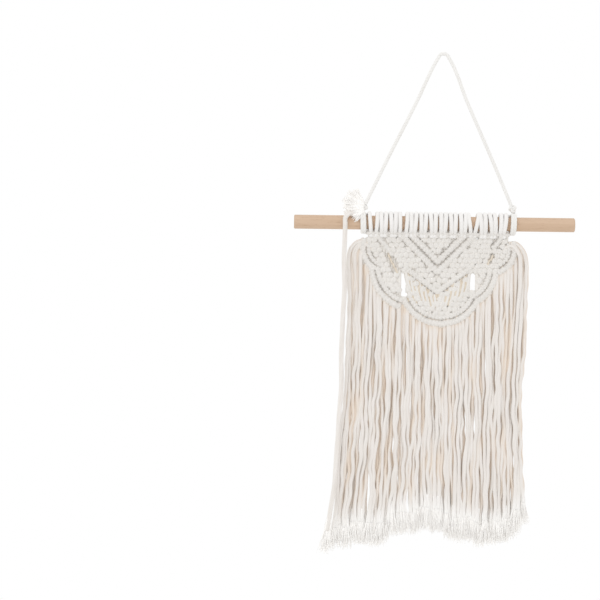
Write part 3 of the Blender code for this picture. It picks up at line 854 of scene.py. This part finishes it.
# %% Hitches of the hanger cord
HITCH_TURNS = 2.02
HITCH_SPAN = 0.0052
for word, outward in (("left", -1), ("right", 1)):
    x = middle(f"hanger_hitch_{word}").x
    line = []
    for i in range(29):
        turn = i / 28 * HITCH_TURNS
        line.append(on_dowel(x + outward * (turn / 2 - 0.5) * HITCH_SPAN, 205 + 360 * turn))
    line.append(KNOTS[word] + Vector((0, 0, -0.0020)))
    shape = cord_shape(smooth_line(line, 0.0015), 0.0020, 0.014, 12, groove=0.14)
    stand_for(mesh_piece(f"hitch_turns_{word}", [shape], BRIGHT), "bright_cotton", "hanger",
              f"hanger_hitch_{word}")
print("hanger hitches: 2")

# %% [markdown]
# ## One hitch, made once
#
# The ridges and the scalloped edge are rows of hitches: each knotting cord turns tightly over a
# carrier cord. Seen from the front a hitch is a short fat loop across the ridge. It starts as a torus
# round the carrier, is pressed flat in edit mode, and is then copied along every row.

# %% Hitch loop
bpy.ops.object.select_all(action="DESELECT")
bpy.ops.mesh.primitive_torus_add(major_segments=10, minor_segments=6, major_radius=0.00215,
                                 minor_radius=0.00185, rotation=(0, math.pi / 2, 0))
hitch = bpy.context.object
hitch.name = "hitch_loop"
bpy.ops.object.transform_apply(location=True, rotation=True, scale=True)
bpy.ops.object.mode_set(mode="EDIT")
bpy.ops.mesh.select_all(action="SELECT")
bpy.ops.transform.resize(value=(1.0, 1.12, 0.95))
bpy.ops.mesh.normals_make_consistent(inside=False)
bpy.ops.object.mode_set(mode="OBJECT")
hitch.data.uv_layers[0].name = "cord"
hitch.data.shade_smooth()
HITCH_WIDTH, HITCH_DEPTH, HITCH_REACH = hitch.dimensions
print("hitch loop:", len(hitch.data.polygons), "faces,", tuple(round(side, 4) for side in hitch.dimensions))


def placed_hitch(place, along, width, reach, depth, slant):
    """A copy of the hitch with its own mesh, across a line that runs along the given way."""
    copy = hitch.copy()
    copy.data = hitch.data.copy()
    bpy.context.scene.collection.objects.link(copy)
    size = Matrix.Diagonal((width / HITCH_WIDTH, depth / HITCH_DEPTH, reach / HITCH_REACH, 1))
    turn = Matrix.Rotation(-math.atan2(along.z, along.x) + slant, 4, "Y")
    copy.data.transform(Matrix.Translation(place) @ turn @ size)
    return copy


def joined(name, parts, *nodes):
    """Joins copies into one piece of the panel, with its finish and with painted light marked in its deep
    places.
    """
    bpy.ops.object.select_all(action="DESELECT")
    for part in parts:
        part.select_set(True)
    bpy.context.view_layer.objects.active = parts[0]
    bpy.ops.object.join()
    piece = bpy.context.object
    piece.name = name
    piece.data.name = name
    piece.data.materials.clear()
    piece.data.materials.append(KNOTTED)
    piece.select_set(False)
    # Painted light: deep places in the knotted panel take an inner colour a little lighter than the cord.
    mark(piece, "shelter", lambda co: 1 - rise(abs(co.y), 0.0016, 0.0040))
    stand_for(piece, "knotted_cotton", "panel", *nodes)


# %% [markdown]
# ## Rows of hitches
#
# A row needs a line, a width and a slant. The carrier cord inside is a plain length of cord, so that no
# light comes through between two loops. Two rows, leaning opposite ways, cover each scallop: an inner
# and an outer one. A single row runs along under the wraps, over the heading cords.

# %% Rows of hitches
ARC_STEP = 7
THIN_SCALLOP = 0.010
THIN_ROWS = ((-0.0030, 0.0052, -0.4), (0.0034, 0.0080, 0.4))
BROAD_ROWS = ((-0.0035, 0.0063, -0.4), (0.0033, 0.0078, 0.4))


def beside(line, amount, back):
    """A line moved sideways in the panel's plane, and back from it."""
    last = len(line) - 1
    moved = []
    for i, place in enumerate(line):
        way = (line[min(i + 1, last)] - line[max(i - 1, 0)]).normalized()
        moved.append(place + Vector((way.z, 0, -way.x)) * amount + Vector((0, back, 0)))
    return moved


def hitch_row(line, width, depth, spacing, slant, seed, forward=0.0):
    """Hitches side by side along a line, with their carrier cord and the cords that pass behind."""
    draw = random.Random(seed)
    even = smooth_line(line, spacing)
    parts = []
    for i, place in enumerate(even):
        way = even[min(i + 1, len(even) - 1)] - even[max(i - 1, 0)]
        shift = Vector((0, -forward + draw.uniform(-0.0002, 0.0002), 0))
        parts.append(placed_hitch(place + shift, way, spacing * draw.uniform(1.25, 1.45),
                                  width * draw.uniform(0.97, 1.08), depth * draw.uniform(0.95, 1.02),
                                  slant + draw.uniform(-0.08, 0.08)))
    fine = smooth_line(line, 0.002)
    behind = [cord_shape(beside(fine, 0.0, -forward), min(width, depth) * 0.34, KNOT_LAY, 10)]
    for amount in (-width * 0.40, width * 0.40):
        behind.append(cord_shape(beside(fine, amount, 0.0012), 0.0022, KNOT_LAY, 8))
    parts.append(mesh_piece("carrier", behind, KNOTTED))
    return parts


def scallop_line(name, shift):
    """A line along a scallop, moved outwards by a shift."""
    middle_across, middle_down, radius, first, last, _ = SCALLOPS[name]
    count = round((last - first) / ARC_STEP)
    angles = [math.radians(first + (last - first) * i / count) for i in range(count + 1)]
    reach = radius + shift
    return [on_panel(middle_across + reach * math.cos(a), middle_down - reach * math.sin(a)) for a in angles]


for seed, (name, measures) in enumerate(SCALLOPS.items()):
    parts = []
    for shift, row_width, slant in THIN_ROWS if measures[-1] < THIN_SCALLOP else BROAD_ROWS:
        parts += hitch_row(scallop_line(name, shift), row_width, depth=0.0088, spacing=0.0039,
                           slant=slant, seed=40 + seed)
    joined(name + "_hitches", parts, name)
heading = along_the_top(0.0045, -0.0022, 0.0012)
joined("heading_hitches", hitch_row(heading, 0.0050, depth=0.0064, spacing=0.0046, slant=0.15, seed=33))
print("scallops:", len(SCALLOPS), "and the heading row")

# %% [markdown]
# ## Ridges of the V
#
# Three V-shaped ridges cross the panel, two steep and one flatter. Each side of a V is a row of hitches
# from its outer end to the middle. Where two rows meet there is deep shade, so short dark lengths of
# cord lie in the joins as painted shadow, with gaps where the loops close. The scallops get the same.

# %% Ridges of the V
RIDGE_WIDTH = 0.0076
LOWER_WIDTH = 0.0070
STEEP = math.hypot(1, 1)
LOWER_SLOPE = 0.74
RIDGES = {
    "v_ridge_upper": (0.0234 + RIDGE_WIDTH * STEEP / 2, 1.0, None, RIDGE_WIDTH),
    "v_ridge_middle": (0.0346 + RIDGE_WIDTH * STEEP / 2, 1.0, None, RIDGE_WIDTH),
    "v_ridge_lower": (0.0656 - LOWER_WIDTH * math.hypot(1, LOWER_SLOPE) / 2, LOWER_SLOPE, 0.034, LOWER_WIDTH),
}
SHADED_JOINS = ((0.0236, 1.0, 0.0205, 0.68), (0.0348, 1.0, 0.0300, 0.68), (0.0652, LOWER_SLOPE, 0.0315, 0.88))
SHADOW_DASH_FORWARD = 0.0036


def side_of_v(side, down, slope, reach, nearest):
    """One side of a V that has its point at a depth, from its outer end to near the middle."""
    return [on_panel(side * reach * t, down - slope * reach * t) for t in (1.0, 0.66, 0.33, nearest)]


def painted_shadow_dashes(line, spacing, seed, keep):
    """Short dark bits of cord between two rows of hitches: painted shadow where the rows meet."""
    draw = random.Random(seed)
    even = smooth_line(line, spacing)
    shift = Vector((0, -SHADOW_DASH_FORWARD, 0))
    shapes = []
    for p, q in zip(even, even[1:]):
        if draw.random() > keep:
            continue
        start, end = p.lerp(q, draw.uniform(0.08, 0.30)), p.lerp(q, draw.uniform(0.52, 0.78))
        bit = smooth_line([start + shift, start.lerp(end, 0.5) + shift * 1.06, end + shift], 0.0008)
        shapes.append(cord_shape(bit, draw.uniform(0.00038, 0.00062), KNOT_LAY, 8, groove=0.1,
                                 swell=lambda t: 0.55 + 0.45 * math.sin(math.pi * t)))
    return shapes


for seed, (name, (down, slope, span, width)) in enumerate(RIDGES.items()):
    reach = span or (down - 0.0030) / slope
    parts = []
    for side in (-1, 1):
        line = side_of_v(side, down, slope, reach, 0.03)
        parts += hitch_row(line, width * 1.06, depth=0.0096, spacing=0.0043, slant=side * 0.28,
                           seed=60 + seed * 2 + side, forward=0.0002)
    joined(name + "_hitches", parts, name)
shapes = []
for seed, (down, slope, reach, keep) in enumerate(SHADED_JOINS):
    for side in (-1, 1):
        shapes += painted_shadow_dashes(side_of_v(side, down, slope, reach, 0.05), 0.0041, 200 + seed * 2 + side, keep)
for seed, name in enumerate(SCALLOPS):
    shapes += painted_shadow_dashes(scallop_line(name, -0.0002), 0.0042, 220 + seed, 0.38)
stand_for(mesh_piece("carrier_painted_shadow_dashes", shapes, PAINTED_SHADOW_CORD), "knotted_cotton", "panel")
print("ridges:", len(RIDGES), "with", len(shapes), "glimpses of the carriers")

# %% [markdown]
# ## Knotted fields
#
# Beside and between the ridges the cords are tied in close rows of small knots. Each shows as a short
# loop that leans left or right as the tension in its cord happens to pull it. A ray through the plain
# solid tells whether a place is covered, so the loops fill exactly the field's outline and leave its
# slots open. Upright filler cords behind them are the cords that the knots are tied round. In a few
# places the knots stand apart and a cord shows between them. It gets no direct light, so it is painted
# tan: painted shade.

# %% Loops and fillers
KNOT_STEP = 0.0053
CORNER = 0.0011
FILLER_PITCH = 0.0029
SHORT_RIDGES = {
    "knot_field_left": [(-0.0640, 0.0030), (-0.0570, 0.0115), (-0.0495, 0.0210)],
    "knot_field_right": [(0.0675, 0.0025), (0.0640, 0.0080), (0.0600, 0.0125)],
}
SLOTS = {"left": (-0.0362, 0.0322, 0.0402), "right": (0.0380, 0.0336, 0.0424)}
OPEN_SLITS = [(across, down) for across, *_ in SLOTS.values() for down in (0.0440, 0.0490, 0.0540, 0.0580)]
INNER_SLITS = ((-0.0522, 0.0232), (-0.0498, 0.0284), (-0.0470, 0.0336), (-0.0442, 0.0388),
               (0.0545, 0.0288), (0.0578, 0.0240))


def covers(node):
    """A test for whether the solid covers a place on the panel."""
    tree = BVHTree.FromObject(frame["nodes"][node], bpy.context.evaluated_depsgraph_get())
    return lambda x, z: tree.ray_cast(Vector((x, -0.1, z)), Vector((0, 1, 0)), 0.2)[0] is not None


def clearings(spots, radius):
    """Round places on the panel where no loop is set."""
    return [(place.x, place.z, radius) for place in (on_panel(*spot) for spot in spots)]


def leaning_loops(node, seed, keep_clear):
    """Loops in staggered rows over a field, each leaning its own way."""
    inside = covers(node)
    low, high = (Vector(corner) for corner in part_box(node))
    draw = random.Random(seed)
    loops = []
    for row in range(int((high.z - low.z) / KNOT_STEP) + 1):
        for column in range(int((high.x - low.x) / KNOT_STEP) + 2):
            x = low.x + (column + 0.5 * (row % 2)) * KNOT_STEP
            z = high.z - (row + 0.20) * KNOT_STEP
            covered = sum(inside(x + a * CORNER, z + b * CORNER) for a in (1, -1) for b in (1, -1))
            if covered < 2 or (covered < 3 and not inside(x, z)):
                continue
            if any((Vector((x, z)) - Vector((a, b))).length < r for a, b, r in keep_clear):
                continue
            lean = draw.choice((-1, -1, 1, 1, 0)) * draw.uniform(0.35, 1.15)
            place = Vector((x + draw.uniform(-0.0006, 0.0006), draw.uniform(-0.0003, 0.0004),
                            z + draw.uniform(-0.0004, 0.0004)))
            width = 0.0060 * draw.uniform(0.9, 1.15)
            reach = 0.0086 * draw.uniform(0.92, 1.08)
            depth = 0.0082 * draw.uniform(0.9, 1.08)
            loops.append(placed_hitch(place, Vector((1, 0, 0)), width, reach, depth, lean))
    return loops


def filler_cords(node):
    """Upright cords behind a field's loops, left out where a slot is open."""
    inside = covers(node)
    low, high = (Vector(corner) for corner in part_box(node))
    slots = clearings(OPEN_SLITS, 0)

    def solid(x, z):
        return inside(x, z) and not any(abs(x - a) < 0.0030 and abs(z - b) < 0.0032 for a, b, _ in slots)

    fillers = []
    x = low.x + 0.0012
    while x < high.x:
        run = []
        z = high.z - 0.0005
        while z > low.z - 0.001:
            if solid(x, z):
                run.append(Vector((x, 0.0004, z)))
            if (not solid(x, z) or z - 0.001 <= low.z - 0.001) and len(run) > 3:
                route = [run[0], run[len(run) // 2], run[-1]]
                fillers.append(cord_shape(smooth_line(route, 0.002), 0.0017, KNOT_LAY, 8))
            if not solid(x, z):
                run = []
            z -= 0.001
        x += FILLER_PITCH
    return mesh_piece("fillers", fillers, KNOTTED)


print("slots:", len(SLOTS), "with", len(OPEN_SLITS), "open places")

# %% [markdown]
# Each side field is crossed by one short ridge of its own, so its loops keep clear of that line.

# %% Fields
counts = {}
for seed, node in enumerate(("centre_field", "knot_field_left", "knot_field_right")):
    ridge = [on_panel(*spot) for spot in SHORT_RIDGES.get(node, [])]
    clear = clearings(OPEN_SLITS, 0.0056) + clearings(INNER_SLITS, 0.0034)
    if ridge:
        clear += [(spot.x, spot.z, 0.0040) for spot in smooth_line(ridge, 0.003)]
    parts = leaning_loops(node, 90 + seed, clear) + [filler_cords(node)]
    if ridge:
        parts += hitch_row(ridge, 0.0066, depth=0.0094, spacing=0.0043, slant=0.25, seed=95 + seed)
        # Painted shadow beside the short ridge, as in the joins of the V.
        bits = painted_shadow_dashes(beside(ridge, 0.0032, 0.0), 0.0040, 230 + seed, 0.8)
        stand_for(mesh_piece(node + "_glimpses", bits, PAINTED_SHADOW_CORD), "knotted_cotton", "panel")
    counts[node] = len(parts)
    joined(node + "_knots", parts, node)
# Tan cords in gaps between knots: painted shade.
shapes = []
for across, down in INNER_SLITS:
    lean = -0.0010 if across < 0 else 0.0010
    bit = [on_panel(across + lean, down - 0.0028, 0.0026), on_panel(across, down, 0.0029),
           on_panel(across - lean, down + 0.0028, 0.0026)]
    shapes.append(cord_shape(smooth_line(bit, 0.0009), 0.0011, KNOT_LAY, 10, groove=0.1))
stand_for(mesh_piece("field_painted_shade_cords", shapes, PAINTED_SHADE_TAN), "knotted_cotton", "panel")
print("field knots:", counts)

# %% [markdown]
# ## The open lattice
#
# Under the lowest ridge the cords run slanting and bare to the scallop, with slits between them.
# Near both edges they are knotted, so loops close the lattice there. A second layer of the same cords
# runs behind, with a row of upright cords that is painted tan: painted shade where it shows through a
# slit, since no direct light gets there. Two seam cords and a keel cord lie behind the point of the V,
# where the two sides meet, and a cord follows each side of the open slots.

# %% Lattice
LATTICE_CORDS = (0.0310, 0.0258, 0.0206, 0.0154, 0.0102, 0.0050, 0.0008)
LATTICE_SLITS = ((0.0288, 0.0545), (0.0236, 0.0585), (0.0184, 0.0625), (0.0132, 0.0665), (0.0080, 0.0705))
SEAMS = ((0.0008, 0.0430, 0.0640, -0.0014, 0.0022), (0.0034, 0.0440, 0.0600, -0.0014, 0.0022),
         (0.0012, 0.0600, 0.0840, -0.0026, 0.0024))
V_POINT = 0.0656


def bare_cord(route, radius, step=0.002, sides=10):
    """A cord through a few places, with a shallow groove between its plies."""
    return cord_shape(smooth_line(route, step), radius, KNOT_LAY, sides, groove=0.08)


def straight_cord(start, end, radius):
    """A bare cord between two places."""
    return bare_cord([start, start.lerp(end, 0.5), end], radius)


for word, side in (("left", -1), ("right", 1)):
    shapes = []
    for across in LATTICE_CORDS:
        top = V_POINT - LOWER_SLOPE * across - 0.004
        foot = 0.0521 + math.sqrt(0.0336 ** 2 - (across * 0.9 - side * 0.0038) ** 2) + 0.003
        centre = (top + foot) / 2
        route = [on_panel(side * (across + 0.0030), top, 0.0010),
                 on_panel(side * (across + 0.0012), centre - 0.004, 0.0018),
                 on_panel(side * (across - 0.0010), centre + 0.004, 0.0018),
                 on_panel(side * max(0.0004, across - 0.0034), foot, 0.0006)]
        shapes.append(bare_cord(route, 0.00165, 0.0018, 12))
        shapes.append(bare_cord([Vector((place.x, 0.0028, place.z)) for place in route], 0.0025, 0.0018))
    _, inner_side, outer_side = SLOTS[word]
    for across, bow in ((inner_side, -0.0004), (outer_side, 0.0006)):
        edge = [on_panel(side * across, 0.0375), on_panel(side * (across + bow), 0.0490),
                on_panel(side * across, 0.0625)]
        shapes.append(bare_cord(edge, 0.0019))
    # Upright backing cords painted tan: painted shade where they show through the slits.
    backing = []
    for order in range(12):
        across = 0.0015 + order * 0.0026
        top = V_POINT - LOWER_SLOPE * across - 0.003
        backing.append(straight_cord(on_panel(side * across, top, 0.0012),
                                     on_panel(side * across, 0.078 - order * 0.0006, 0.0010), 0.0018))
    for across, high, low, forward, radius in SEAMS:
        shapes.append(straight_cord(on_panel(side * across, high, forward),
                                    on_panel(side * across, low, forward), radius))
    stand_for(mesh_piece(f"lattice_backing_{word}", backing, PAINTED_SHADE_TAN), "knotted_cotton", "panel")
    cords = mesh_piece(f"lattice_cords_{word}", shapes, KNOTTED)
    clear = clearings([(side * across, down) for across, down in LATTICE_SLITS], 0.0040)
    loops = leaning_loops(f"lattice_{word}", 120 + side, clear + clearings(OPEN_SLITS, 0.0050))
    joined(f"lattice_{word}_cords", [cords] + loops, f"lattice_{word}")
bpy.data.objects.remove(hitch, do_unlink=True)
print("lattice: 2 sides of", len(LATTICE_CORDS), "cords")

# %% [markdown]
# ## The dowel
#
# A plain beech dowel. Its solid is already the right shape, so it keeps its mesh and gets a material:
# long fine streaks along the grain, short dark flecks, and rings on the cut ends. Beech is matt here,
# sanded and not varnished.

# %% Beech
beech, start = new_material("sanded_beech")
centred = start.add("ShaderNodeMapping", links={0: start.spot(), 1: tuple(-DOWEL)})
along = start.add("ShaderNodeSeparateXYZ", links={0: centred})
deep, high = along.other(1), along.other(2)


def grain_place(length, girth):
    """A place for a pattern drawn out along the grain: its scale along the dowel and across it."""
    return start.add("ShaderNodeCombineXYZ", links={0: along * length, 1: deep * girth, 2: high * girth})


streaks = grain_place(9.0, 210.0).noise(1.0, 4.0, Roughness=0.6, Distortion=0.4)
fleck_mask = grain_place(130.0, 900.0).noise(1.0, 2.0).ramp(0.60, 0.72)
off_axis = (deep * deep + high * high) ** 0.5
rings = off_axis * 5200.0 + streaks * 6.0
ring_wave = rings.maths("SINE", rings) * 0.5 + 0.5
cut_end = start.maths("GREATER_THAN", abs(along), (dowel_high.x - dowel_low.x) / 2 - 0.0006)
grain = streaks.mix((0.54, 0.37, 0.245, 1.0), (0.74, 0.555, 0.41, 1.0))
speckled = (fleck_mask * 0.45).mix(grain, (0.42, 0.26, 0.15, 1.0))
end_grain = ring_wave.mix((0.47, 0.31, 0.19, 1.0), (0.60, 0.42, 0.27, 1.0))
bump = start.add("ShaderNodeBump", links={"Strength": 0.35, "Distance": 0.0003,
                                          "Height": streaks * 0.7 - fleck_mask * 0.4})
start.surface({
    "Base Color": cut_end.mix(speckled, end_grain),
    "Roughness": 0.62 - streaks * 0.14,
    "Normal": bump,
    "Specular IOR Level": 0.35,
})
dowel = frame["nodes"]["dowel"]
dowel.data.materials.clear()
dowel.data.materials.append(beech)
print("dowel material:", beech.name)

# %% [markdown]
# ## Studio
#
# A pale floor well below the hanging, a white surround and two large soft lamps. The surround gives
# almost all the light, as a light tent does, and the lamps only add a little shape.

# %% Floor, surround and lamps
FLOOR_HEIGHT = -1.2
bpy.ops.object.select_all(action="DESELECT")
bpy.ops.mesh.primitive_circle_add(vertices=96, radius=4.0, fill_type="NGON", location=(0, 0, FLOOR_HEIGHT))
floor = bpy.context.object
floor.name = "studio_floor"
pale, start = new_material("pale_floor")
clouds = start.spot().noise(0.8, 1.0)
start.surface({"Base Color": clouds.mix((0.88, 0.875, 0.865, 1.0), (0.92, 0.915, 0.905, 1.0)),
               "Roughness": 0.8})
floor.data.materials.append(pale)
floor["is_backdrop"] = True

world = bpy.data.worlds.new("white_surround")
bpy.context.scene.world = world
world.use_nodes = True
world.node_tree.nodes["Background"].inputs["Color"].default_value = (1.0, 1.0, 1.0, 1.0)
world.node_tree.nodes["Background"].inputs["Strength"].default_value = 1.0
bpy.context.scene.view_settings.view_transform = "Standard"


def soft_lamp(name, place, size, power):
    """A large square lamp that faces the middle of the hanging."""
    bpy.ops.object.light_add(type="AREA", location=place)
    lamp = bpy.context.object
    lamp.name = name
    lamp.data.size = size
    lamp.data.energy = power
    lamp.rotation_mode = "QUATERNION"
    lamp.rotation_quaternion = (Vector(place) - middle("v_ridge_lower")).to_track_quat("Z", "Y")


soft_lamp("key_lamp", (-1.1, -1.5, 0.9), 1.0, 3.5)
soft_lamp("back_lamp", (1.2, 1.4, 0.8), 1.2, 3.0)
print("studio: floor, surround and two lamps")

# %% [markdown]
# ## Size
#
# The box of the cord work and the box of the plain solids that it stands for are both shown. The cord
# work must stay close to the plain solids that it stands for.

# %% Size
low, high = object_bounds()
{"cad": [list(cad_low), list(cad_high)], "visual": [list(low), list(high)]}
print("visual box:", [round(value, 4) for value in (*low, *high)])
